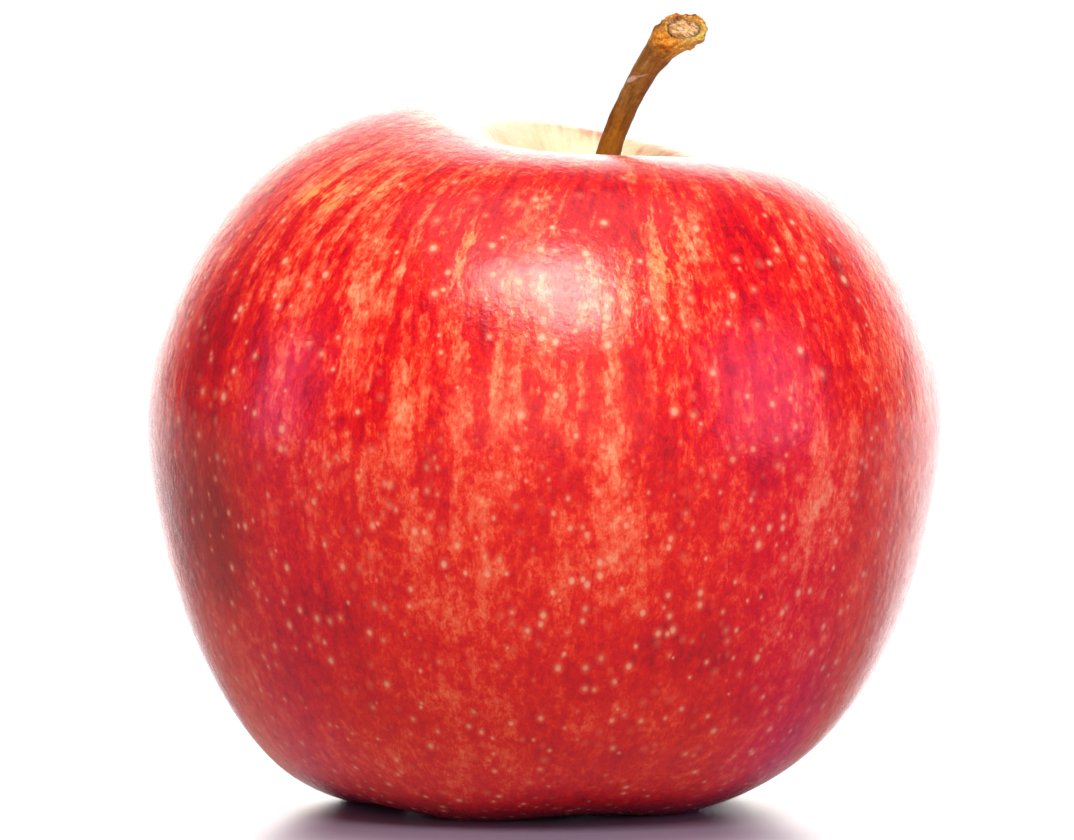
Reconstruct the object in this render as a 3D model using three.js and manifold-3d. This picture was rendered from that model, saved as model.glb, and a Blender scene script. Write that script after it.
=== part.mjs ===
// A ripe red apple as it grew: the fruit, its woody stem, and the dried calyx at the blossom end.
// Millimetres, +Z up. The apple stands on five small flats at Z = 0 and is looked at from -Y,
// with +X to the right. The origin is on the table, under the middle of the fruit.

import * as THREE from "three";
import { mergeVertices } from "three/addons/utils/BufferGeometryUtils.js";
import Module from "manifold-3d";

const wasm = await Module();
wasm.setup();

const TAU = 2 * Math.PI;
const RADIANS = Math.PI / 180;

// Fruit outline: radius from the core line, height above the table, and the reach of each bend
const EQUATOR = { radius: 39, height: 37.6, reachUp: 9.5, reachDown: 8.5 };
const CREST = { radius: 14.7, height: 64.9, reachOut: 17.3, reachIn: 6 };
const FOOT = { radius: 14.7, height: 0.3, reachOut: 19.2, reachIn: 5 };
const CAVITY = { depth: 13.5, reach: 4 };
const BASIN = { depth: 7.5, reach: 5 };

// Fruit growth: five lobes, a crest that is higher on the left, and a core line that bends
const LOBES = [
  { turn: 178, rise: 2.6 },
  { turn: 250, rise: -0.4 },
  { turn: 322, rise: 0 },
  { turn: 34, rise: -0.5 },
  { turn: 106, rise: 1.3 },
];
const CREST_SHARPNESS = 8;
const FOOT_SHARPNESS = 24;
const FOOT_DROP = 0.65;
const RIB_SHARE = 0.012;
const TOP_LEAN = { x: 3.6, y: -1.5, slope: 0.078 };
const BASE_LEAN = -1.2;
const FADE = { lean: 6, crest: 3.3, foot: 3.2 };

// How finely the fruit is faceted, round it and along each stretch of the outline
const FRUIT_SIDES = 72;
const FRUIT_STEPS = { cavity: 9, shoulder: 13, belly: 15, basin: 8 };

// Stem: where it runs, its radius at distances from the socket's mouth, and its cut head
const SEAT_GAP = 0.3;
const STEM_ROOT = { length: 3.6, radius: 1.5 };
const STEM_RUN = [
  [3.6, -1.5, 51.4],
  [5.6, -1.5, 61.5],
  [6.9, -2.0, 70.8],
  [13.8, -3.6, 76.2],
];
const STEM_RADII = [
  [-3.6, 1.4],
  [0, 1.45],
  [3.5, 1.4],
  [9, 1.4],
  [12, 1.3],
  [14.5, 1.12],
  [17.5, 1.17],
  [21.5, 1.27],
  [24.2, 1.4],
];
const HEAD = { radius: 1.95, shoulder: 1.85, rim: 1.6, scar: 1.25 };
const HEAD_BELOW_END = { collar: 1.0, shoulder: 0.3, scar: 0.3, middle: 0.15 };
const HEAD_SLANT = { back: 0.85, right: 0.5, from: 21.5 };
const HEAD_OVAL = 0.07;
const STEM_SIDES = 20;
const STEM_STEPS = 26;

// Calyx: a small plug in the fruit, five dried sepals that curl inwards, and a tuft of stamens
const CALYX_PLUG = { radius: 2.4, height: 1.9, sides: 24 };
const SEPAL = { count: 5, length: 5.2, width: 2.3, thickness: 0.7, taper: 0.55, facets: 10 };
const SEPAL_BEND = { root: 1.7, spread: 1.3, halfWaves: 0.75, curl: 1.9 };
const SEPAL_SINK = 0.7;
const STAMEN = { count: 9, radius: 0.3, length: 3.1, shortest: 2.5, ring: 0.75, splay: 0.28, sides: 5 };

// Making of the solids: points closer than the gap are one, and a calyx edge is never shorter
const SAME_POINT_GAP = 1e-4;
const SMALLEST_EDGE = 0.02;
const TABLE_SIDE = 160;

// Seeded random numbers, as x -> factor * x modulo a prime
const RANDOM = { seed: 7, factor: 16807, prime: 2147483647 };

const SKIN = new THREE.MeshStandardMaterial({ color: 0xc8282a, roughness: 0.3, metalness: 0 });
const BARK = new THREE.MeshStandardMaterial({ color: 0x8a5a1c, roughness: 0.7, metalness: 0 });
const DRIED = new THREE.MeshStandardMaterial({ color: 0x6b4a2c, roughness: 0.85, metalness: 0 });

// A closed geometry as a solid that can be joined and cut
function solidOf(geometry) {
  const bare = geometry.index ? geometry.toNonIndexed() : geometry.clone();
  bare.deleteAttribute("normal");
  bare.deleteAttribute("uv");
  const merged = mergeVertices(bare, SAME_POINT_GAP);
  return new wasm.Manifold(
    new wasm.Mesh({
      numProp: 3,
      vertProperties: merged.attributes.position.array,
      triVerts: new Uint32Array(merged.index.array),
    }),
  );
}

// A solid as a named mesh
function meshOf(name, solid, material) {
  const { vertProperties, triVerts } = solid.getMesh();
  const geometry = new THREE.BufferGeometry();
  geometry.setAttribute("position", new THREE.BufferAttribute(vertProperties, 3));
  geometry.setIndex(new THREE.BufferAttribute(triVerts, 1));
  geometry.computeVertexNormals();
  const mesh = new THREE.Mesh(geometry, material);
  mesh.name = name;
  return mesh;
}

// Turns a profile round Z. place(j, turn) gives the point of profile step j at that turn in radians.
function turned(profile, sides, place) {
  const geometry = new THREE.LatheGeometry(profile, sides);
  const position = geometry.attributes.position;
  for (let i = 0; i < position.count; i += 1) {
    const side = Math.floor(i / profile.length);
    const turn = ((side % sides) * TAU) / sides;
    const point = place(i % profile.length, turn);
    position.setXYZ(i, point.x, point.y, point.z);
  }
  return geometry;
}

function smooth(t) {
  const held = THREE.MathUtils.clamp(t, 0, 1);
  return held * held * (3 - 2 * held);
}

// The fruit's outline from the stem socket's floor, over the crest and down to the calyx socket's
// roof. Each step carries how far it follows the top's lean, the crest's lobes and the feet.
function fruitOutline() {
  const cavityFloor = CREST.height - CAVITY.depth;
  const basinRoof = FOOT.height + BASIN.depth;
  const stemSocket = STEM_ROOT.radius + SEAT_GAP;
  const calyxSocket = CALYX_PLUG.radius + SEAT_GAP;
  const steps = [];
  const add = (r, z, weights) => steps.push({ r, z, lean: 0, crest: 0, foot: 0, low: 0, ...weights });
  const stretch = (from, fromReach, toReach, to, count, skip, weigh) => {
    const curve = new THREE.CubicBezierCurve(
      new THREE.Vector2(...from),
      new THREE.Vector2(...fromReach),
      new THREE.Vector2(...toReach),
      new THREE.Vector2(...to),
    );
    for (let i = skip; i <= count; i += 1) {
      const point = curve.getPoint(i / count);
      add(point.x, point.y, weigh(i / count, point.y));
    }
  };

  const socketFloor = cavityFloor - STEM_ROOT.length - SEAT_GAP;
  add(0, socketFloor, { lean: 1 });
  add(stemSocket, socketFloor, { lean: 1 });
  stretch(
    [stemSocket, cavityFloor],
    [CAVITY.reach, cavityFloor],
    [CREST.radius - CREST.reachIn, CREST.height],
    [CREST.radius, CREST.height],
    FRUIT_STEPS.cavity,
    0,
    (t) => ({ lean: 1, crest: smooth(t) }),
  );
  stretch(
    [CREST.radius, CREST.height],
    [CREST.radius + CREST.reachOut, CREST.height],
    [EQUATOR.radius, EQUATOR.height + EQUATOR.reachUp],
    [EQUATOR.radius, EQUATOR.height],
    FRUIT_STEPS.shoulder,
    1,
    (t, z) => {
      const up = THREE.MathUtils.clamp((z - EQUATOR.height) / (CREST.height - EQUATOR.height), 0, 1);
      return { lean: up ** FADE.lean, crest: up ** FADE.crest };
    },
  );
  stretch(
    [EQUATOR.radius, EQUATOR.height],
    [EQUATOR.radius, EQUATOR.height - EQUATOR.reachDown],
    [FOOT.radius + FOOT.reachOut, FOOT.height],
    [FOOT.radius, FOOT.height],
    FRUIT_STEPS.belly,
    1,
    (t, z) => {
      const down = THREE.MathUtils.clamp((EQUATOR.height - z) / (EQUATOR.height - FOOT.height), 0, 1);
      return { foot: down ** FADE.foot, low: down ** (2 * FADE.foot) };
    },
  );
  stretch(
    [FOOT.radius, FOOT.height],
    [FOOT.radius - FOOT.reachIn, FOOT.height],
    [BASIN.reach, basinRoof],
    [calyxSocket, basinRoof],
    FRUIT_STEPS.basin,
    1,
    (t) => ({ foot: 1 - smooth(t), low: 1 }),
  );
  const socketRoof = basinRoof + CALYX_PLUG.height + SEAT_GAP;
  add(calyxSocket, socketRoof, { low: 1 });
  add(0, socketRoof, { low: 1 });
  return steps;
}

// How strongly the lobe that grows towards lobeTurn swells the fruit at this turn
function lobe(turn, lobeTurn, sharpness) {
  return ((1 + Math.cos(turn - lobeTurn * RADIANS)) / 2) ** sharpness;
}

function fruitPoint(step, turn) {
  const rise = LOBES.reduce((sum, l) => sum + l.rise * lobe(turn, l.turn, CREST_SHARPNESS), 0);
  const drop = LOBES.reduce((sum, l) => sum + FOOT_DROP * lobe(turn, l.turn, FOOT_SHARPNESS), 0);
  const rib = Math.cos(LOBES.length * (turn - LOBES[0].turn * RADIANS));
  const r = step.r * (1 + RIB_SHARE * rib * Math.max(step.foot, step.crest));
  const x = r * Math.cos(turn);
  return {
    x: x + TOP_LEAN.x * step.lean + BASE_LEAN * step.low,
    y: r * Math.sin(turn) + TOP_LEAN.y * step.lean,
    z: step.z + rise * step.crest - drop * step.foot - TOP_LEAN.slope * x * step.lean,
  };
}

function makeFruit() {
  const steps = fruitOutline().reverse();
  const profile = steps.map((step) => new THREE.Vector2(step.r, step.z));
  const grown = solidOf(turned(profile, FRUIT_SIDES, (j, turn) => fruitPoint(steps[j], turn)));
  const box = new THREE.BoxGeometry(TABLE_SIDE, TABLE_SIDE, TABLE_SIDE);
  const table = solidOf(box.translate(0, 0, -TABLE_SIDE / 2));
  return meshOf("fruit", grown.subtract(table), SKIN);
}

// The stem's centre line: straight in its socket, then bending to the right and towards the viewer
function stemRun() {
  const [mouth, rise, bend, end] = STEM_RUN.map((p) => new THREE.Vector3(...p));
  const run = new THREE.CurvePath();
  const root = mouth.clone().setZ(mouth.z - STEM_ROOT.length);
  run.add(new THREE.LineCurve3(root, mouth));
  run.add(new THREE.CubicBezierCurve3(mouth, rise, bend, end));
  return run;
}

// Radius against distance from the socket's mouth, closed by the collar, the rim and the scar
function stemProfile(end) {
  const body = new THREE.SplineCurve(STEM_RADII.map(([along, r]) => new THREE.Vector2(r, along)));
  return [
    new THREE.Vector2(0, -STEM_ROOT.length),
    ...body.getPoints(STEM_STEPS),
    new THREE.Vector2(HEAD.radius, end - HEAD_BELOW_END.collar),
    new THREE.Vector2(HEAD.shoulder, end - HEAD_BELOW_END.shoulder),
    new THREE.Vector2(HEAD.rim, end),
    new THREE.Vector2(HEAD.scar, end - HEAD_BELOW_END.scar),
    new THREE.Vector2(HEAD.scar / 2, end - HEAD_BELOW_END.middle),
    new THREE.Vector2(0, end - HEAD_BELOW_END.scar),
  ];
}

function makeStem() {
  const run = stemRun();
  const length = run.getLength();
  const end = length - STEM_ROOT.length;
  const profile = stemProfile(end);
  const back = new THREE.Vector3(0, 1, 0);
  const place = (j, turn) => {
    const { x: r, y: along } = profile[j];
    const share = THREE.MathUtils.clamp((along + STEM_ROOT.length) / length, 0, 1);
    const ahead = run.getTangentAt(share);
    const right = new THREE.Vector3().crossVectors(back, ahead).normalize();
    const behind = new THREE.Vector3().crossVectors(ahead, right);
    const flare = smooth((along - HEAD_SLANT.from) / (end - HEAD_SLANT.from));
    const wide = r * (1 + HEAD_OVAL * flare * Math.cos(2 * turn));
    const toRight = wide * Math.cos(turn);
    const toBack = wide * Math.sin(turn);
    const slant = flare * (HEAD_SLANT.right * toRight + HEAD_SLANT.back * toBack);
    return run
      .getPointAt(share)
      .addScaledVector(right, toRight)
      .addScaledVector(behind, toBack)
      .addScaledVector(ahead, slant);
  };
  return meshOf("stem", solidOf(turned(profile, STEM_SIDES, place)), BARK);
}

// One dried sepal: a pointed blade that leaves the plug, bulges outwards and curls in to its tip
function sepal(turn) {
  const blade = new THREE.SphereGeometry(1, SEPAL.facets, SEPAL.facets);
  const position = blade.attributes.position;
  for (let i = 0; i < position.count; i += 1) {
    const along = (1 - position.getY(i)) / 2;
    const taper = 1 - SEPAL.taper * along * along;
    const across = (position.getX(i) * taper * SEPAL.width) / 2;
    const through = (position.getZ(i) * SEPAL.thickness) / 2;
    const bulge = SEPAL_BEND.spread * Math.sin(along * Math.PI * SEPAL_BEND.halfWaves);
    const out = SEPAL_BEND.root + bulge - SEPAL_BEND.curl * along ** 3;
    const cup = (across * across) / (2 * SEPAL.width);
    position.setXYZ(i, across, out - cup + through, -SEPAL.length * along);
  }
  return solidOf(blade.rotateZ(turn));
}

// One dried stamen, leaning outwards from the middle of the plug
function stamen(turn, lean, length) {
  const thread = new THREE.CylinderGeometry(STAMEN.radius, STAMEN.radius, length, STAMEN.sides);
  thread.rotateX(Math.PI / 2).translate(0, 0, -length / 2);
  thread.rotateX(lean).translate(0, STAMEN.ring, 0).rotateZ(turn);
  return solidOf(thread);
}

// Random numbers between 0 and 1, the same in every run
function drawer() {
  let state = RANDOM.seed;
  return () => {
    state = (state * RANDOM.factor) % RANDOM.prime;
    return state / RANDOM.prime;
  };
}

function makeCalyx() {
  const draw = drawer();
  const { radius, height, sides } = CALYX_PLUG;
  const plug = new THREE.CylinderGeometry(radius, radius, height, sides);
  let calyx = solidOf(plug.rotateX(Math.PI / 2).translate(0, 0, height / 2));
  for (let i = 0; i < SEPAL.count; i += 1) {
    const blade = sepal((i * TAU) / SEPAL.count + LOBES[0].turn * RADIANS);
    calyx = calyx.add(blade.translate([0, 0, SEPAL_SINK]));
  }
  for (let i = 0; i < STAMEN.count; i += 1) {
    const lean = STAMEN.splay * draw();
    const length = THREE.MathUtils.lerp(STAMEN.shortest, STAMEN.length, draw());
    const thread = stamen((i * TAU) / STAMEN.count, lean, length);
    calyx = calyx.add(thread.translate([0, 0, SEPAL_SINK]));
  }
  const mesh = meshOf("calyx", calyx.simplify(SMALLEST_EDGE), DRIED);
  mesh.position.set(BASE_LEAN, 0, FOOT.height + BASIN.depth);
  return mesh;
}

const apple = new THREE.Group();
apple.add(makeFruit(), makeStem(), makeCalyx());

export default apple;
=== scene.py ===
import math

import bpy
import numpy as np
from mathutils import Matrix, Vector


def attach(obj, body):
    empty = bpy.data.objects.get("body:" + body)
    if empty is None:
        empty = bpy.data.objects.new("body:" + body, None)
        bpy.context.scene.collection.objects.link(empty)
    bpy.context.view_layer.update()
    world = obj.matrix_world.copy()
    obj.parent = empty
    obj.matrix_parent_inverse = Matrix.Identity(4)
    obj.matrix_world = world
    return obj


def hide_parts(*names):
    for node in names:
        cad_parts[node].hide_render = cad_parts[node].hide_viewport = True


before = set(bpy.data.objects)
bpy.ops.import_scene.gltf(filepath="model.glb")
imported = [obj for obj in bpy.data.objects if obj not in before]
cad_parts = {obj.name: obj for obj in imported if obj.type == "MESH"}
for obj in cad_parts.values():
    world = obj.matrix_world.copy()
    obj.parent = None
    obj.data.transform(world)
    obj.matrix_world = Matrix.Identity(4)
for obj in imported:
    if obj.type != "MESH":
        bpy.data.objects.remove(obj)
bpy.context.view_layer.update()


# The camera: a long lens that looks slightly down on the apple from the front, so that the far
# wall of the stem hollow shows above the near rim. The apple fills the frame.

LOOKS_DOWN = math.radians(4.5)
CAMERA_DISTANCE = 0.9
CAMERA_AIM = Vector((-0.00072, 0.0, 0.0375))
SENSOR_WIDTH = 36.0
FOCAL_LENGTH = 307.4
NEAREST_SEEN = 0.05
FARTHEST_SEEN = 60.0

look = Vector((0.0, math.cos(LOOKS_DOWN), -math.sin(LOOKS_DOWN)))
lens = bpy.data.cameras.new("camera")
lens.sensor_width = SENSOR_WIDTH
lens.lens = FOCAL_LENGTH
lens.clip_start = NEAREST_SEEN
lens.clip_end = FARTHEST_SEEN
camera = bpy.data.objects.new("camera", lens)
camera.location = CAMERA_AIM - look * CAMERA_DISTANCE
camera.rotation_euler = look.to_track_quat("-Z", "Y").to_euler()
bpy.context.scene.collection.objects.link(camera)
bpy.context.scene.camera = camera


# The fruit: one swollen body of flesh with five lobes under a thin waxy skin, with a deep hollow
# for the stem and a shallow one round the calyx. Its grown form comes over from its solid, is
# rounded off, and gets the faint waviness that a real skin shows in its reflections.

MM = 1000.0
SAME_POINT = 0.000002
PAIR_FACES_UP_TO = math.radians(50)
PAIR_SHAPES_UP_TO = math.radians(60)
FRUIT_ROUNDING = 2
SWELL_HEIGHT = 0.00016
SWELL_LENGTH = 0.011


def points_of(piece):
    """The piece's points, a row for each."""
    points = np.empty(len(piece.data.vertices) * 3)
    piece.data.vertices.foreach_get("co", points)
    return points.reshape(-1, 3)


def kept_on_points(piece, name, kind, field, values):
    """Keeps a number or three on each point, for the piece's material to read."""
    piece.data.attributes.new(name, kind, "POINT")
    piece.data.attributes[name].data.foreach_set(field, values.astype(np.float32).ravel())


def carried_over(node, name):
    """A new piece with the solid's own shape, its loose triangles merged and paired into quads."""
    piece = bpy.data.objects.new(name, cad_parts[node].data.copy())
    piece.data.materials.clear()
    bpy.context.scene.collection.objects.link(piece)
    bpy.ops.object.select_all(action="DESELECT")
    bpy.context.view_layer.objects.active = piece
    piece.select_set(True)
    bpy.ops.object.mode_set(mode="EDIT")
    bpy.ops.mesh.select_all(action="SELECT")
    bpy.ops.mesh.remove_doubles(threshold=SAME_POINT)
    bpy.ops.mesh.tris_convert_to_quads(
        face_threshold=PAIR_FACES_UP_TO,
        shape_threshold=PAIR_SHAPES_UP_TO,
    )
    bpy.ops.object.mode_set(mode="OBJECT")
    bpy.ops.object.shade_smooth()
    return piece


def rounded_off(piece, levels):
    """Subdivides the active piece and applies it."""
    rounding = piece.modifiers.new("rounding", "SUBSURF")
    rounding.levels = levels
    rounding.render_levels = levels
    bpy.ops.object.modifier_apply(modifier=rounding.name)


def made_wavy(piece, strength, length):
    """Pushes the active piece's surface in and out in soft swells."""
    swell = bpy.data.textures.new(piece.name + "_swell", "CLOUDS")
    swell.noise_scale = length
    swell.noise_depth = 1
    waves = piece.modifiers.new("waves", "DISPLACE")
    waves.texture = swell
    waves.texture_coords = "LOCAL"
    waves.strength = strength
    waves.mid_level = 0.5
    bpy.ops.object.modifier_apply(modifier=waves.name)


fruit = carried_over("fruit", "apple_fruit")
rounded_off(fruit, FRUIT_ROUNDING)
made_wavy(fruit, SWELL_HEIGHT, SWELL_LENGTH)

# It stands on its five small flats, and nothing of it is lower than the table
fruit_points = points_of(fruit)
fruit_points[:, 2] = np.maximum(fruit_points[:, 2], 0)
fruit.data.vertices.foreach_set("co", fruit_points.ravel())

# The skin grows along lines from the stem to the calyx. Each point keeps where it lies on them:
# its turn round the core, as two numbers, and its way from the stem, in mm. The core leans more
# towards each end, by these powers, so the two hollows are not quite above each other.
CORE_ABOVE = (3.6, -1.5)
CORE_BELOW = -1.2
LEAN_POWER_ABOVE = 6
LEAN_POWER_BELOW = 6.4
WIDEST_AT = 37.6
WIDEST_TO_RIM = 27.3
WIDEST_TO_FEET = 37.05
RIM_SLANT = 0.078
HOLLOW_RADIUS = 14.7
HOLLOW_IS_ABOVE = 45
BASIN_IS_BELOW = 20
CORE_MIDDLE = 36.0
SKIN_RADIUS = 39.0
NEAREST_TO_CORE = 0.01

x, y, z = fruit_points.T * MM
from_core_above = np.hypot(x - CORE_ABOVE[0], y - CORE_ABOVE[1])
from_core_below = np.hypot(x - CORE_BELOW, y)
in_top_hollow = (from_core_above < HOLLOW_RADIUS) & (z > HOLLOW_IS_ABOVE)
in_low_hollow = (from_core_below < HOLLOW_RADIUS) & (z < BASIN_IS_BELOW)
upwards = np.clip((z - WIDEST_AT) / WIDEST_TO_RIM, 0, 1)
downwards = np.clip((WIDEST_AT - z) / WIDEST_TO_FEET, 0, 1)
lean_above = np.where(in_top_hollow, 1.0, upwards**LEAN_POWER_ABOVE)
lean_below = np.where(in_low_hollow, 1.0, downwards**LEAN_POWER_BELOW)
out_x = x - CORE_ABOVE[0] * lean_above - CORE_BELOW * lean_below
out_y = y - CORE_ABOVE[1] * lean_above
out = np.maximum(np.hypot(out_x, out_y), NEAREST_TO_CORE)
above_middle = z + RIM_SLANT * out_x * lean_above - CORE_MIDDLE
way = SKIN_RADIUS * (math.pi / 2 - np.arctan2(above_middle, out))
grain_lines = np.stack([SKIN_RADIUS * out_x / out, SKIN_RADIUS * out_y / out, way], axis=1)
kept_on_points(fruit, "grain", "FLOAT_VECTOR", "vector", grain_lines)


def new_finish(name):
    """A new material, its nodes and its shader."""
    material = bpy.data.materials.new(name)
    material.use_nodes = True
    return material, material.node_tree, material.node_tree.nodes["Principled BSDF"]


def add(tree, kind, inputs=None, **options):
    """One shader node, with its options and its socket values or links."""
    new = tree.nodes.new(kind)
    for name, value in options.items():
        setattr(new, name, value)
    for name, value in (inputs or {}).items():
        socket = new.inputs[name]
        if isinstance(value, bpy.types.NodeSocket):
            tree.links.new(value, socket)
        else:
            socket.default_value = value
    return new


def calc(tree, operation, first, second=0.0):
    """A sum on two numbers of the surface."""
    return add(tree, "ShaderNodeMath", {0: first, 1: second}, operation=operation).outputs[0]


def vector_calc(tree, operation, first, second=(0.0, 0.0, 0.0)):
    """The same on places or directions."""
    sockets = {0: first, 1: second}
    return add(tree, "ShaderNodeVectorMath", sockets, operation=operation).outputs[0]


def product(tree, first, *others):
    """Numbers of the surface multiplied together."""
    for other in others:
        first = calc(tree, "MULTIPLY", first, other)
    return first


def stretched(tree, where, factors):
    """A place with its three parts scaled: a pattern on it is finer where the factor is large."""
    return vector_calc(tree, "MULTIPLY", where, factors)


def length_of(tree, where):
    """How long a vector is."""
    return add(tree, "ShaderNodeVectorMath", {0: where}, operation="LENGTH").outputs["Value"]


def place_in_mm(tree):
    """Where each point of the surface lies on the object."""
    return stretched(tree, add(tree, "ShaderNodeTexCoord").outputs["Object"], (MM, MM, MM))


def kept(tree, name, output="Vector"):
    """What a piece's points keep under a name."""
    return add(tree, "ShaderNodeAttribute", attribute_name=name).outputs[output]


def parts_of(tree, vector):
    """The three numbers of a vector."""
    return add(tree, "ShaderNodeSeparateXYZ", {0: vector}).outputs


def ramp_between(tree, value, start, end, low_value=0.0, high_value=1.0):
    """Eases from low_value at start to high_value at end."""
    sockets = {
        "Value": value,
        "From Min": start,
        "From Max": end,
        "To Min": low_value,
        "To Max": high_value,
    }
    return add(tree, "ShaderNodeMapRange", sockets, interpolation_type="SMOOTHSTEP").outputs[0]


def noise(tree, where, scale, detail=2.0, roughness=0.5, distortion=0.0):
    """Random patterns on the surface, from 0 to 1: one at [0], and three together at [1]."""
    sockets = {
        "Vector": where,
        "Scale": scale,
        "Detail": detail,
        "Roughness": roughness,
        "Distortion": distortion,
    }
    return add(tree, "ShaderNodeTexNoise", sockets).outputs


def mottle(tree, where, scale, detail=2.0, roughness=0.5, distortion=0.0):
    """A mottled pattern, from 0 to 1."""
    return noise(tree, where, scale, detail, roughness, distortion)[0]


def sway(tree, pattern, reach):
    """How far a pattern is above or below its middle, times reach."""
    return product(tree, calc(tree, "SUBTRACT", pattern, 0.5), reach)


def weighed(tree, *parts):
    """Adds patterns up about their middle: 0.5 plus each (pattern, weight) pair's share."""
    total = 0.5
    for pattern, weight in parts:
        total = calc(tree, "ADD", sway(tree, pattern, weight), total)
    return total


def spot(tree, where, middle, size, strength, core=0.25):
    """A soft patch: full strength in its core and none beyond its size. Places are in mm."""
    off_middle = vector_calc(tree, "SUBTRACT", where, middle)
    away = length_of(tree, vector_calc(tree, "DIVIDE", off_middle, size))
    return ramp_between(tree, away, 1.0, core, 0.0, strength)


def tinted(tree, share, under, over):
    """Lays the colour over on the colour under, by share."""
    mix = add(tree, "ShaderNodeMix", {0: share, 6: under, 7: over}, data_type="RGBA")
    return mix.outputs[2]


def between(tree, share, low, high):
    """A number from low to high, by share."""
    return add(tree, "ShaderNodeMix", {0: share, 2: low, 3: high}).outputs[0]


def colour(red, green, blue):
    """A colour as seen, from 0 to 255, as the light it sends back."""
    def light(v):
        v = v / 255
        return v / 12.92 if v <= 0.04045 else ((v + 0.055) / 1.055) ** 2.4
    return (light(red), light(green), light(blue), 1.0)


def shades(tree, value, *stops):
    """A run of colours along a value: (position, colour) pairs."""
    ramp = add(tree, "ShaderNodeValToRGB", {0: value})
    elements = ramp.color_ramp.elements
    while len(elements) < len(stops):
        elements.new(0.5)
    for element, (position, shade) in zip(elements, stops):
        element.position = position
        element.color = shade
    return ramp.outputs[0]


def embossed(tree, shader, relief, strength, depth):
    """Raises the surface's finest relief in its shading, by a depth in metres."""
    sockets = {"Height": relief, "Strength": strength, "Distance": depth}
    tree.links.new(add(tree, "ShaderNodeBump", sockets).outputs[0], shader.inputs["Normal"])


# The ripe skin: thin red over yellow, laid down in broken streaks along the growth lines, with a
# fine speckle, and pale breathing pores that are sparse above and crowded below.
skin, skin_tree, skin_shader = new_finish("ripe_red_skin")
place = place_in_mm(skin_tree)
grain = kept(skin_tree, "grain")
from_stem = parts_of(skin_tree, grain)[2]
height = parts_of(skin_tree, place)[2]

# Streaks follow the grain: long along it, narrow across it, with ends that fray into fibres
FIBRE_STRETCH = (1.0, 1.0, 0.45)
FIBRE_SHIFT = (7.3, 2.1, 4.4)
FRAY_REACH = (1.6, 1.6, 2.4)
NOISE_MIDDLE = (0.5, 0.5, 0.5)

fibre_place = vector_calc(skin_tree, "ADD", stretched(skin_tree, grain, FIBRE_STRETCH), FIBRE_SHIFT)
fray = noise(skin_tree, fibre_place, scale=1.3, detail=3.0, roughness=0.55)[1]
frayed = stretched(skin_tree, vector_calc(skin_tree, "SUBTRACT", fray, NOISE_MIDDLE), FRAY_REACH)


def streaks(stretch, scale, start, end):
    """Broken bars along the grain: stretch is how much shorter they are measured along it."""
    along_grain = stretched(skin_tree, grain, (1.0, 1.0, stretch))
    where = vector_calc(skin_tree, "ADD", along_grain, frayed)
    return ramp_between(skin_tree, mottle(skin_tree, where, scale), start, end)


WIDE_STRETCH = (0.36, 0.36, 0.1)
TALL_GRAINS = (1.0, 1.0, 0.75)

bars = streaks(stretch=0.17, scale=0.42, start=0.44, end=0.6)
dashes = streaks(stretch=0.4, scale=1.0, start=0.38, end=0.62)
fine_dashes = streaks(stretch=0.7, scale=2.2, start=0.36, end=0.64)
wide_streaks = mottle(skin_tree, stretched(skin_tree, grain, WIDE_STRETCH), scale=0.62)
clouds = mottle(skin_tree, place, scale=0.055)
blotches = mottle(skin_tree, place, scale=0.2)
tall_place = stretched(skin_tree, place, TALL_GRAINS)
grains = mottle(skin_tree, tall_place, scale=0.95, detail=3.0, roughness=0.62)
speckle = mottle(skin_tree, place, scale=2.4, detail=3.0, roughness=0.65)

# How ripe the skin is, from pale at 0 to dark at 1, with painted shade added at its foot. The
# streaks are boldest round the shoulder and almost lost in the mottling low down. Each row says
# from which height, in mm, to which the share grows, and from what to what.
STREAKS_BY_HEIGHT = (16.0, 56.0, 0.25, 1.0)
# Darker bands by height: a little darker above 42 mm and below 34 mm, and much darker in the lowest
# 5 mm, which is painted shade where the apple sits on the table.
DARKER_BY_HEIGHT = (
    (42.0, 56.0, 0.0, 0.04),
    (34.0, 18.0, 0.01, 0.07),
    (5.0, 0.5, 0.0, 0.4),
)
streaky = ramp_between(skin_tree, height, *STREAKS_BY_HEIGHT)
ripeness_and_shade = weighed(
    skin_tree,
    (bars, product(skin_tree, streaky, 0.34)),
    (dashes, product(skin_tree, streaky, 0.2)),
    (fine_dashes, 0.16),
    (wide_streaks, 0.45),
    (blotches, 0.65),
    (clouds, 0.25),
    (grains, 0.85),
    (speckle, 0.4),
)
# The bands darken the skin; the lowest one is painted shade at the foot.
for heights_and_shares in DARKER_BY_HEIGHT:
    darker_band = ramp_between(skin_tree, height, *heights_and_shares)
    ripeness_and_shade = calc(skin_tree, "ADD", ripeness_and_shade, darker_band)

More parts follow.
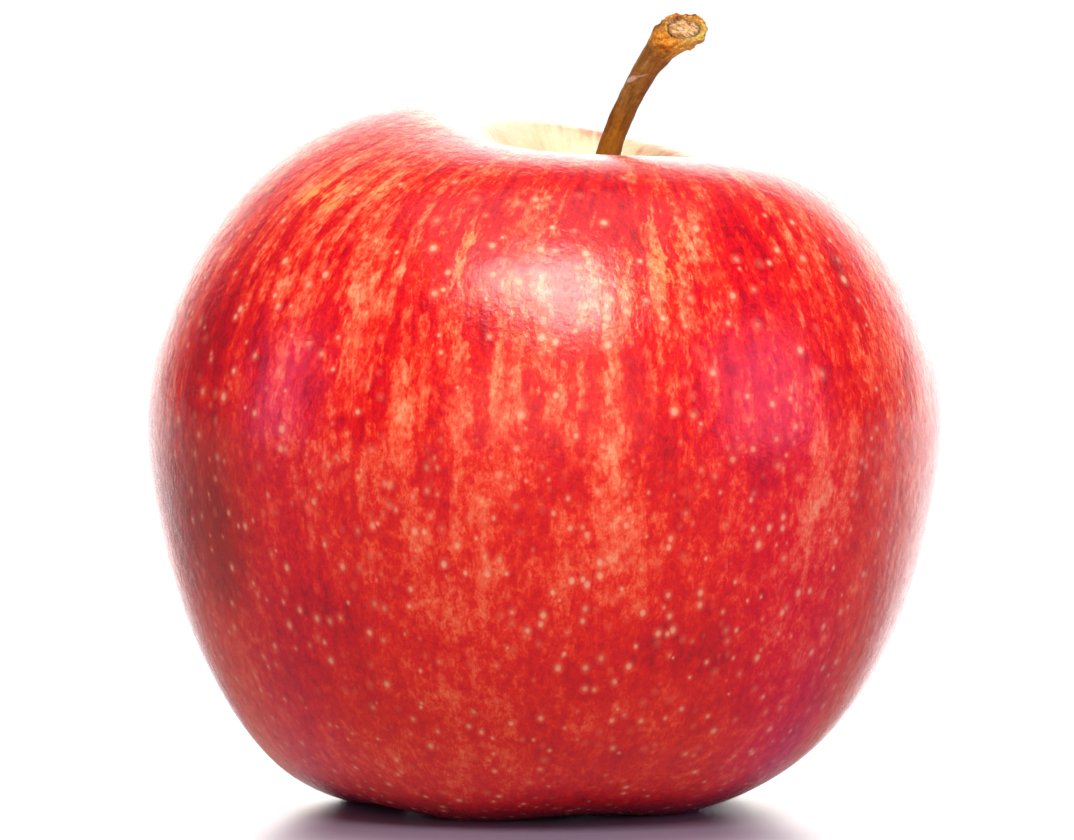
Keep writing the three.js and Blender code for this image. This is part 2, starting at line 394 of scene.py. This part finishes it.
# Large patches that are riper or paler than the rest: middle and size in mm, and by how much
WANDER_REACH = (9.0, 9.0, 9.0)
WANDER_MIDDLE = (4.5, 4.5, 4.5)
RIPER_PATCHES = (
    ((-20.6, -18.4, 61.0), (5, 6, 5), -0.14),
    ((11.6, -30.4, 55.0), (4, 8, 9), -0.08),
    ((-6.1, -33.1, 54.3), (7, 9, 8), -0.05),
    ((-10.0, -35.5, 39.0), (9, 9, 9), 0.08),
    ((-25.1, -29.8, 37.0), (9, 12, 15), 0.16),
    ((-7.0, -34.8, 21.0), (5, 9, 12), -0.09),
    ((17.0, -34.0, 33.0), (9, 10, 15), 0.1),
    ((8.0, -36.0, 26.0), (6, 9, 14), -0.10),
    ((-34.0, -18.0, 32.0), (8, 14, 15), 0.42),
    ((-31.0, -20.4, 46.0), (8, 12, 11), 0.26),
    ((-4.2, -27.8, 60.6), (4, 8, 9), 0.16),
    ((4.3, -28.7, 59.7), (4, 8, 8), 0.16),
    ((20.3, -28.4, 51.6), (5, 9, 11), 0.2),
    ((29.2, -22.6, 47.9), (7, 10, 12), 0.14),
    ((-21.0, -29.0, 19.0), (10, 12, 9), 0.16),
    ((12.0, -32.0, 18.0), (9, 10, 8), 0.2),
    ((1.0, -35.0, 14.0), (5, 9, 8), 0.12),
)
YELLOW_BLUSHES = (
    ((-20.6, -18.4, 61.0), (3.2, 4, 3.2), 0.55),
    ((-15.5, -20.0, 60.5), (2.5, 4, 3), 0.2),
    ((11.6, -30.4, 55.5), (2.0, 6, 5), 0.3),
    ((-6.0, -31.5, 57.0), (3, 6, 4), 0.25),
)
BROWNED_SIDE = ((-32.0, -20.0, 30.0), (7, 13, 13), 0.6)
RED_TO_PALE = (0.5, 0.2)

wander = stretched(skin_tree, noise(skin_tree, place, scale=0.12, detail=3.0)[1], WANDER_REACH)
patchy = vector_calc(skin_tree, "ADD", place, wander)
patchy = vector_calc(skin_tree, "SUBTRACT", patchy, WANDER_MIDDLE)
for patch in RIPER_PATCHES:
    ripeness_and_shade = calc(skin_tree, "ADD", ripeness_and_shade, spot(skin_tree, patchy, *patch))
skin_colour = shades(
    skin_tree,
    ripeness_and_shade,
    (0.0, colour(253, 164, 120)),
    (0.17, colour(250, 124, 86)),
    (0.35, colour(246, 82, 54)),
    (0.5, colour(236, 40, 26)),
    (0.66, colour(222, 18, 28)),
    (0.84, colour(205, 8, 30)),
    (1.0, colour(178, 2, 26)),
)

# Yellow shows through in a few pale spots. The left side is darker, a brown red.
yellowed = 0.0
for blush in YELLOW_BLUSHES:
    yellowed = calc(skin_tree, "ADD", yellowed, spot(skin_tree, patchy, *blush))
pale_part = ramp_between(skin_tree, ripeness_and_shade, *RED_TO_PALE)
yellowed = product(skin_tree, yellowed, pale_part)
skin_colour = tinted(skin_tree, yellowed, skin_colour, colour(252, 180, 84))
browned = spot(skin_tree, patchy, *BROWNED_SIDE)
skin_colour = tinted(skin_tree, browned, skin_colour, colour(146, 18, 14))

# Where the sun never reached, the hollow round the stem and the basin round the calyx stay pale.
# Their edges lie at a way from the stem, in mm, and wander with the streaks.
HOLLOW_WANDER = 9.0
HOLLOW_EDGE = (21.0, 16.0)
BASIN_WANDER = 7.0
BASIN_EDGE = (105.0, 114.0, 0.0, 0.9)

pale = shades(
    skin_tree,
    weighed(skin_tree, (bars, 0.16), (blotches, 1.3), (grains, 0.5)),
    (0.3, colour(242, 230, 194)),
    (0.6, colour(236, 214, 170)),
    (0.85, colour(226, 158, 128)),
)
hollow_way = calc(skin_tree, "ADD", from_stem, sway(skin_tree, wide_streaks, HOLLOW_WANDER))
in_hollow = ramp_between(skin_tree, hollow_way, *HOLLOW_EDGE)
skin_colour = tinted(skin_tree, in_hollow, skin_colour, pale)
basin_way = calc(skin_tree, "ADD", from_stem, sway(skin_tree, wide_streaks, BASIN_WANDER))
in_basin = ramp_between(skin_tree, basin_way, *BASIN_EDGE)
skin_colour = tinted(skin_tree, in_basin, skin_colour, pale)

# Breathing pores: each is a pale dot in a faint halo. The edges are in shares of its radius.
SMALLEST_PORE = 0.55
DOT_EDGE = (1.15, 0.25)
HALO_EDGE = (2.1, 0.9)
CROWDED_BY_HEIGHT = (44.0, 26.0)
DOT_STRENGTH = 0.85
HALO_STRENGTH = 0.28


def pores(where, spacing, radius, share):
    """Round pores scattered through the skin, each of its own size: their dots and halos."""
    cells = add(skin_tree, "ShaderNodeTexVoronoi", {"Vector": where, "Scale": 1.0 / spacing})
    chance = add(skin_tree, "ShaderNodeSeparateColor", {0: cells.outputs["Color"]})
    own_size = calc(skin_tree, "ADD", chance.outputs[0], SMALLEST_PORE)
    own_radius = product(skin_tree, own_size, radius / spacing)
    there = calc(skin_tree, "LESS_THAN", chance.outputs[1], share)
    near = calc(skin_tree, "DIVIDE", cells.outputs["Distance"], own_radius)
    dot = product(skin_tree, ramp_between(skin_tree, near, *DOT_EDGE), there)
    halo = product(skin_tree, ramp_between(skin_tree, near, *HALO_EDGE), there)
    return dot, halo


sparse_dots, sparse_halos = pores(place, spacing=2.05, radius=0.33, share=0.85)
dense_dots, dense_halos = pores(tall_place, spacing=1.35, radius=0.245, share=0.85)
crowding = ramp_between(skin_tree, height, *CROWDED_BY_HEIGHT)
dots = between(skin_tree, crowding, sparse_dots, dense_dots)
halos = between(skin_tree, crowding, sparse_halos, dense_halos)
hidden = calc(skin_tree, "MAXIMUM", in_hollow, in_basin)
outside = calc(skin_tree, "SUBTRACT", 1.0, hidden)
halos_outside = product(skin_tree, halos, HALO_STRENGTH, outside)
dots_outside = product(skin_tree, dots, DOT_STRENGTH, outside)
skin_colour = tinted(skin_tree, halos_outside, skin_colour, colour(244, 128, 96))
skin_colour = tinted(skin_tree, dots_outside, skin_colour, colour(248, 182, 142))

# Two small healed cracks on the right shoulder
CRACK_FRAY = (0.8, 0.8, 0.8)
CRACK_STRENGTH = 0.55
CRACK_CORE = 0.3
CRACKS = (
    ((16.3, -18.7, 62.8), (2.6, 1.2, 1.2)),
    ((24.7, -12.1, 61.2), (1.4, 2.2, 1.2)),
)
crooked = vector_calc(skin_tree, "ADD", place, stretched(skin_tree, frayed, CRACK_FRAY))
for middle, size in CRACKS:
    healed = spot(skin_tree, crooked, middle, size, CRACK_STRENGTH, CRACK_CORE)
    skin_colour = tinted(skin_tree, healed, skin_colour, colour(150, 72, 58))
skin_tree.links.new(skin_colour, skin_shader.inputs["Base Color"])

# Wax makes it glossy, less so on the pores, and a fine relief breaks up its highlights
WAXED = 0.26
PORE_ROUGHNESS = 0.2
SKIN_RELIEF_STRENGTH = 0.8
SKIN_RELIEF = 0.00011

dull = weighed(skin_tree, (grains, 0.3), (speckle, 0.14), (clouds, 0.12))
waxed = calc(skin_tree, "SUBTRACT", dull, WAXED)
skin_roughness = calc(skin_tree, "ADD", waxed, product(skin_tree, dots, PORE_ROUGHNESS))
skin_tree.links.new(skin_roughness, skin_shader.inputs["Roughness"])
skin_shader.inputs["IOR"].default_value = 1.42
skin_shader.inputs["Coat Weight"].default_value = 0.2
skin_shader.inputs["Coat Roughness"].default_value = 0.16
ripples = mottle(skin_tree, place, scale=0.45)
skin_relief = weighed(skin_tree, (ripples, 0.8), (grains, 1.0), (speckle, 0.4), (dots, -0.3))
embossed(skin_tree, skin_shader, skin_relief, SKIN_RELIEF_STRENGTH, SKIN_RELIEF)

fruit.data.materials.append(skin)
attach(fruit, "root")
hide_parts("fruit")


# The stem: a thin woody stalk that grew curved out of the hollow's floor and was picked off the
# spur, so its head is flared and torn across. Dry bark with fine ribs along it, ochre and corky
# at the head.

# Its run is the solid's, in mm: the hollow's floor and three points of the bend, then how deep
# the root goes, the stem's whole length and the length at which its head starts
STEM_RUN = ((3.6, -1.5, 51.4), (5.6, -1.5, 61.5), (6.9, -2.0, 70.8), (13.8, -3.6, 76.2))
STEM_ROOT = 3.6
STEM_END = 25.4
HEAD_START = 24.0
RUN_STEPS = 160
ROOT_STEPS = 30

stem = carried_over("stem", "apple_stem")


def along_stem(piece):
    """Each point's place on the stalk in mm, to its right, behind it and along it, and the
    stalk's heading there."""
    steps = np.linspace(0, 1, RUN_STEPS)[:, None]
    p0, p1, p2, p3 = (np.array(p) for p in STEM_RUN)
    run = (1 - steps) ** 3 * p0 + 3 * (1 - steps) ** 2 * steps * p1
    run = run + 3 * (1 - steps) * steps**2 * p2 + steps**3 * p3
    root = p0 - np.array((0, 0, 1)) * np.linspace(STEM_ROOT, 0, ROOT_STEPS)[:-1, None]
    run = np.concatenate([root, run])
    stretches = np.linalg.norm(np.diff(run, axis=0), axis=1)
    along_run = np.concatenate([[0], np.cumsum(stretches)]) - STEM_ROOT
    heading = np.gradient(run, axis=0)
    heading /= np.linalg.norm(heading, axis=1)[:, None]
    points = points_of(piece) * MM
    nearest = np.array([np.argmin(((run - point) ** 2).sum(1)) for point in points])
    ahead = heading[nearest]
    offset = points - run[nearest]
    right = np.cross(np.array((0.0, 1.0, 0.0)), ahead)
    right /= np.linalg.norm(right, axis=1)[:, None]
    behind = np.cross(ahead, right)
    along = along_run[nearest] + (offset * ahead).sum(1)
    return np.stack([(offset * right).sum(1), (offset * behind).sum(1), along], axis=1), ahead


# The rim of the head keeps its edge when the facets are rounded off
RIM_ABOVE_HEAD_START = 0.2
RIM_SHARPNESS = 0.55
STEM_ROUNDING = 3

place_on_stem, _ = along_stem(stem)
at_rim = place_on_stem[:, 2] > HEAD_START + RIM_ABOVE_HEAD_START
rim_edges = [
    RIM_SHARPNESS if at_rim[edge.vertices[0]] and at_rim[edge.vertices[1]] else 0.0
    for edge in stem.data.edges
]
stem.data.attributes.new("crease_edge", "FLOAT", "EDGE")
stem.data.attributes["crease_edge"].data.foreach_set("value", rim_edges)
rounded_off(stem, STEM_ROUNDING)

# Its points keep their place along the fibres, and whether they are on the torn end, which is
# where the head faces along the stalk
TORN_FACING = 0.4
TORN_FACING_SPREAD = 0.35

place_on_stem, ahead = along_stem(stem)
kept_on_points(stem, "fibre", "FLOAT_VECTOR", "vector", place_on_stem)
facing = np.empty(len(stem.data.vertices) * 3)
stem.data.vertex_normals.foreach_get("vector", facing)
facing = (facing.reshape(-1, 3) * ahead).sum(1)
faces_ahead = np.clip((facing - TORN_FACING) / TORN_FACING_SPREAD, 0, 1)
kept_on_points(stem, "torn", "FLOAT", "value", faces_ahead * (place_on_stem[:, 2] > HEAD_START))

# The bark is uneven all along, and the head and its torn end are ragged
BARK_SWELL_HEIGHT = 0.0003
BARK_SWELL_LENGTH = 0.0022
SPLINTER_LENGTH = 0.0008
SPLINTER_HEIGHT = 0.0008

made_wavy(stem, BARK_SWELL_HEIGHT, BARK_SWELL_LENGTH)
ragged = stem.vertex_groups.new(name="ragged")
for index, along in enumerate(place_on_stem[:, 2]):
    if along > HEAD_START:
        share = min((along - HEAD_START) / (STEM_END - HEAD_START), 1.0)
        ragged.add([index], share, "REPLACE")
splinters = bpy.data.textures.new("stem_splinters", "CLOUDS")
splinters.noise_scale = SPLINTER_LENGTH
splinters.noise_depth = 2
tearing = stem.modifiers.new("tearing", "DISPLACE")
tearing.texture = splinters
tearing.texture_coords = "LOCAL"
tearing.strength = SPLINTER_HEIGHT
tearing.vertex_group = "ragged"
bpy.ops.object.modifier_apply(modifier=tearing.name)

# The bark: olive brown where it is young, low down, and greyer above, ribbed along its fibres
RIB_STRETCH = (1.0, 1.0, 0.12)
YOUNG_BARK_ENDS = (15.0, 19.0)

bark, bark_tree, bark_shader = new_finish("dry_stem_bark")
place = place_in_mm(bark_tree)
fibres = kept(bark_tree, "fibre")
to_right, to_back, along = parts_of(bark_tree, fibres)
lengthwise = stretched(bark_tree, fibres, RIB_STRETCH)
ribs = mottle(bark_tree, lengthwise, scale=2.4, detail=3.0, roughness=0.6)
flecks = mottle(bark_tree, place, scale=2.2, detail=3.0, roughness=0.6)
old_bark = shades(
    bark_tree,
    weighed(bark_tree, (ribs, 1.3), (flecks, 0.6)),
    (0.2, colour(104, 64, 20)),
    (0.5, colour(138, 90, 30)),
    (0.75, colour(158, 112, 52)),
    (0.95, colour(184, 142, 92)),
)
young_bark = shades(
    bark_tree,
    weighed(bark_tree, (ribs, 1.2), (flecks, 0.5)),
    (0.2, colour(106, 58, 0)),
    (0.6, colour(146, 86, 0)),
    (0.95, colour(166, 104, 0)),
)
growing_old = ramp_between(bark_tree, along, *YOUNG_BARK_ENDS)
bark_colour = tinted(bark_tree, growing_old, young_bark, old_bark)

# Cork round the head, greenish at its right, and dark at its left in the shade of a fold
CORK_WANDER = 2.0
CORK_START = (23.6, 25.2)
GREEN_FROM_LEFT_TO_RIGHT = (0.2, 1.6, 0.0, 0.6)
FOLD = ((11.2, -3.4, 76.4), (1.4, 2.6, 1.6), 0.7, 0.2)

cork = shades(
    bark_tree,
    weighed(bark_tree, (flecks, 1.6), (ribs, 0.5)),
    (0.2, colour(168, 88, 14)),
    (0.55, colour(220, 150, 40)),
    (0.9, colour(232, 196, 90)),
)
greenish = ramp_between(bark_tree, to_right, *GREEN_FROM_LEFT_TO_RIGHT)
cork = tinted(bark_tree, greenish, cork, colour(206, 196, 96))
cork_way = calc(bark_tree, "ADD", along, sway(bark_tree, flecks, CORK_WANDER))
corky = ramp_between(bark_tree, cork_way, *CORK_START)
bark_colour = tinted(bark_tree, corky, bark_colour, cork)

# An old bud scar and the fine line beside it, which run slanting across the stalk
OLD_SCAR = ((-0.75, -0.9, 21.1), (0.6, 1.2, 0.5), 0.8, 0.4)
SCAR_LINE = ((-0.1, -1.2, 21.25), (0.75, 1.2, 0.14), 0.45, 0.3)

slanting_along = calc(bark_tree, "SUBTRACT", along, to_right)
slanted = add(bark_tree, "ShaderNodeCombineXYZ", {0: to_right, 1: to_back, 2: slanting_along})
old_scar = spot(bark_tree, slanted.outputs[0], *OLD_SCAR)
scar_line = spot(bark_tree, slanted.outputs[0], *SCAR_LINE)
scarred = calc(bark_tree, "MAXIMUM", old_scar, scar_line)
bark_colour = tinted(bark_tree, scarred, bark_colour, colour(206, 170, 156))
bark_colour = tinted(bark_tree, spot(bark_tree, place, *FOLD), bark_colour, colour(74, 34, 28))

# The torn end: pale wood fibres in a dark ring, with the cork left round it
TORN_WANDER = 1.1
STRAND_STRETCH = (0.8, 2.6, 0.5)
TORN_RADIUS = 2.2
CORK_LEFT = (1.4, 1.65)
NONE_OF_IT = (0.0, 0.0, 0.0, 1.0)
MOST_OF_IT = (0.9, 0.9, 0.9, 1.0)

to_right_squared = product(bark_tree, to_right, to_right)
to_back_squared = product(bark_tree, to_back, to_back)
across = calc(bark_tree, "SQRT", calc(bark_tree, "ADD", to_right_squared, to_back_squared))
rough_across = calc(bark_tree, "ADD", across, sway(bark_tree, flecks, TORN_WANDER))
across_strands = stretched(bark_tree, fibres, STRAND_STRETCH)
strands = mottle(bark_tree, across_strands, scale=1.5, detail=3.0, roughness=0.7, distortion=0.6)
wood = shades(
    bark_tree,
    strands,
    (0.32, colour(84, 48, 22)),
    (0.43, colour(170, 116, 62)),
    (0.54, colour(232, 196, 142)),
    (0.7, colour(250, 230, 190)),
)
ring = shades(
    bark_tree,
    calc(bark_tree, "DIVIDE", rough_across, TORN_RADIUS),
    (0.4, NONE_OF_IT),
    (0.56, MOST_OF_IT),
    (0.72, NONE_OF_IT),
)
torn_colour = tinted(bark_tree, ring, wood, colour(70, 38, 14))
cork_left = ramp_between(bark_tree, rough_across, *CORK_LEFT)
torn_colour = tinted(bark_tree, cork_left, torn_colour, cork)
torn_end = kept(bark_tree, "torn", "Fac")
bark_colour = tinted(bark_tree, torn_end, bark_colour, torn_colour)
bark_tree.links.new(bark_colour, bark_shader.inputs["Base Color"])

BARK_RELIEF_STRENGTH = 0.8
BARK_RELIEF = 0.0003

bark_shader.inputs["Roughness"].default_value = 0.62
bark_shader.inputs["Specular IOR Level"].default_value = 0.25
torn_strands = product(bark_tree, strands, torn_end)
bark_relief = weighed(bark_tree, (ribs, 1.0), (flecks, 0.6), (torn_strands, 1.6))
embossed(bark_tree, bark_shader, bark_relief, BARK_RELIEF_STRENGTH, BARK_RELIEF)

stem.data.materials.append(bark)
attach(stem, "root")
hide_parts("stem")


# The calyx: what is left of the flower, dried brown in the hollow underneath: five curled sepals
# on a small woody plug that is grown into the fruit, round a tuft of stamens.

CALYX_ROUNDING = 1
WITHERED_SWELL_HEIGHT = 0.0003
WITHERED_SWELL_LENGTH = 0.0012
WITHERED_STRETCH = (1.0, 1.0, 0.4)
WITHERED_RELIEF_STRENGTH = 0.7
WITHERED_RELIEF = 0.0003

calyx = carried_over("calyx", "apple_calyx")
rounded_off(calyx, CALYX_ROUNDING)
made_wavy(calyx, WITHERED_SWELL_HEIGHT, WITHERED_SWELL_LENGTH)

dried, dried_tree, dried_shader = new_finish("dried_calyx_brown")
shrunk_place = stretched(dried_tree, place_in_mm(dried_tree), WITHERED_STRETCH)
withered = mottle(dried_tree, shrunk_place, scale=1.6, detail=4.0, roughness=0.65)
dried_colour = shades(
    dried_tree,
    withered,
    (0.3, colour(58, 38, 20)),
    (0.5, colour(104, 74, 42)),
    (0.7, colour(160, 128, 84)),
)
dried_tree.links.new(dried_colour, dried_shader.inputs["Base Color"])
dried_shader.inputs["Roughness"].default_value = 0.85
embossed(dried_tree, dried_shader, withered, WITHERED_RELIEF_STRENGTH, WITHERED_RELIEF)

calyx.data.materials.append(dried)
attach(calyx, "root")
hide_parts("calyx")


# The table and the studio light: a smooth white table that fades into the light of a bright
# backdrop, round a dark patch that is a painted shadow and reflection of the apple. Two soft boxes
# stand above the front, a wide weak one in front and one overhead, and a tall weak panel with a
# violet tint on either side.

TABLE_RADIUS = 8.0
TABLE_SIDES = 96
WHITE = (1.0, 1.0, 1.0, 1.0)
WARM_GLOW = (1.0, 0.66, 0.6, 1.0)
VIOLET_GLOW = (0.7, 0.3, 1.0, 1.0)
SEEN_BRIGHTNESS = 1.05

bpy.ops.object.select_all(action="DESELECT")
bpy.ops.mesh.primitive_circle_add(vertices=TABLE_SIDES, radius=TABLE_RADIUS, fill_type="NGON")
table = bpy.context.active_object
table.name = "white_table"
table_top, table_tree, table_shader = new_finish("white_table_top_with_painted_shadow")
# The table's own colour, a dark violet grey, shows only round the apple, as a painted shadow and
# reflection of the apple.
table_shader.inputs["Base Color"].default_value = (0.24, 0.24, 0.34, 1.0)
table_shader.inputs["Roughness"].default_value = 0.25

# The table throws light on the apple: much from the back, a little that is warm from the front,
# and violet from the near sides. Each row says between which headings the share grows, and from
# what to what.
RIGHT_IS_BRIGHTER = 0.16
THROWN_FROM_BACK = (0.5, 0.88, 0.58, 2.0)
WARM_IN_FRONT = (0.6, 0.3)
VIOLET_TO_THE_RIGHT = (0.6, 0.92, 0.0, 0.7)
VIOLET_TO_THE_LEFT = (-0.7, -0.92, 0.0, 0.3)
NEAR_SIDE = (0.15, -0.25)

where = add(table_tree, "ShaderNodeTexCoord").outputs["Object"]
seen = add(table_tree, "ShaderNodeLightPath").outputs["Is Camera Ray"]
unseen = calc(table_tree, "SUBTRACT", 1.0, seen)
heading = parts_of(table_tree, vector_calc(table_tree, "NORMALIZE", where))
rightwards = product(table_tree, heading[0], RIGHT_IS_BRIGHTER)
towards_back = calc(table_tree, "ADD", heading[1], rightwards)
thrown = ramp_between(table_tree, towards_back, *THROWN_FROM_BACK)
brightness = between(table_tree, seen, thrown, SEEN_BRIGHTNESS)
to_the_right = ramp_between(table_tree, heading[0], *VIOLET_TO_THE_RIGHT)
to_the_left = ramp_between(table_tree, heading[0], *VIOLET_TO_THE_LEFT)
to_a_side = calc(table_tree, "MAXIMUM", to_the_right, to_the_left)
near_side = ramp_between(table_tree, heading[1], *NEAR_SIDE)
violet = product(table_tree, to_a_side, near_side, unseen)
in_front = product(table_tree, ramp_between(table_tree, towards_back, *WARM_IN_FRONT), unseen)
glow_colour = tinted(table_tree, in_front, WHITE, WARM_GLOW)
glow_colour = tinted(table_tree, violet, glow_colour, VIOLET_GLOW)
glow = add(table_tree, "ShaderNodeEmission", {"Color": glow_colour, "Strength": brightness})

# The table's own dark colour shows round the apple as a painted shadow and reflection, and fades
# into the glow between these distances, in metres. The light that it throws starts nearer to the
# apple than the glow that is seen.
PAINTED_SHADOW_UNSEEN, PAINTED_SHADOW_SEEN = 0.02, 0.03
GLOWS_UNSEEN, GLOWS_SEEN = 0.032, 0.066

painted_shadow_reach = between(table_tree, seen, PAINTED_SHADOW_UNSEEN, PAINTED_SHADOW_SEEN)
glow_reach = between(table_tree, seen, GLOWS_UNSEEN, GLOWS_SEEN)
fading = ramp_between(table_tree, length_of(table_tree, where), painted_shadow_reach, glow_reach)
painted_shadow = table_shader.outputs[0]
faded = add(table_tree, "ShaderNodeMixShader", {0: fading, 1: painted_shadow, 2: glow.outputs[0]})
table_tree.links.new(faded.outputs[0], table_tree.nodes["Material Output"].inputs["Surface"])
table.data.materials.append(table_top)

# The lights: name, degrees to the camera's right, degrees up, distance, width, height, strength
# and tint
LIT_POINT = Vector((0, 0, 0.04))
SOFT_BOXES = (
    ("front_box", 12, 53, 0.8, 0.24, 0.34, 4.3, (1.0, 0.95, 0.88)),
    ("front_box_left", -15, 56, 0.8, 0.26, 0.17, 2.0, (1.0, 0.95, 0.88)),
    ("front_fill", 2, 8, 1.2, 1.3, 0.9, 4.4, (1.0, 0.8, 0.74)),
    ("top_box", 0, 88, 0.9, 0.9, 0.6, 1.6, (1.0, 1.0, 1.0)),
    ("left_panel", -82, 4, 0.8, 0.22, 0.7, 1.2, (0.75, 0.4, 1.0)),
    ("right_panel", 68, 4, 0.8, 0.46, 0.8, 2.6, (0.78, 0.45, 1.0)),
)
for name, turn, lift, distance, width, tall, strength, tint in SOFT_BOXES:
    light = bpy.data.lights.new(name, "AREA")
    light.shape = "RECTANGLE"
    light.size = width
    light.size_y = tall
    light.energy = strength
    light.color = tint
    box = bpy.data.objects.new(name, light)
    turned, up = math.radians(turn), math.radians(lift)
    level = math.cos(up)
    away = Vector((math.sin(turned) * level, -math.cos(turned) * level, math.sin(up)))
    box.location = LIT_POINT + away * distance
    box.rotation_euler = (-away).to_track_quat("-Z", "Y").to_euler()
    bpy.context.scene.collection.objects.link(box)

# The backdrop: bright behind the apple, a little more so to the right and upwards
BACKDROP_WARMTH = (1.0, 0.95, 0.91, 1.0)
BACKDROP_UPWARDS = 0.08
BACKDROP_RIGHTWARDS = 0.1
BACKDROP_EDGE = (0.7, 0.97, 0.1, 3.3)

studio = bpy.data.worlds.new("studio")
studio.use_nodes = True
bpy.context.scene.world = studio
studio_tree = studio.node_tree
direction = add(studio_tree, "ShaderNodeTexCoord").outputs["Generated"]
right, back, up = parts_of(studio_tree, direction)
back_or_up = calc(studio_tree, "ADD", back, product(studio_tree, up, BACKDROP_UPWARDS))
rightwards = product(studio_tree, right, BACKDROP_RIGHTWARDS)
bright_way = calc(studio_tree, "ADD", back_or_up, rightwards)
brightness = ramp_between(studio_tree, bright_way, *BACKDROP_EDGE)
lighting = {"Color": BACKDROP_WARMTH, "Strength": brightness}
showing = {"Color": WHITE, "Strength": SEEN_BRIGHTNESS}
lit = add(studio_tree, "ShaderNodeBackground", lighting).outputs[0]
shown = add(studio_tree, "ShaderNodeBackground", showing).outputs[0]
seen = add(studio_tree, "ShaderNodeLightPath").outputs["Is Camera Ray"]
backdrop = add(studio_tree, "ShaderNodeMixShader", {0: seen, 1: lit, 2: shown})
studio_tree.links.new(backdrop.outputs[0], studio_tree.nodes["World Output"].inputs["Surface"])
bpy.context.scene.view_settings.view_transform = "Standard"
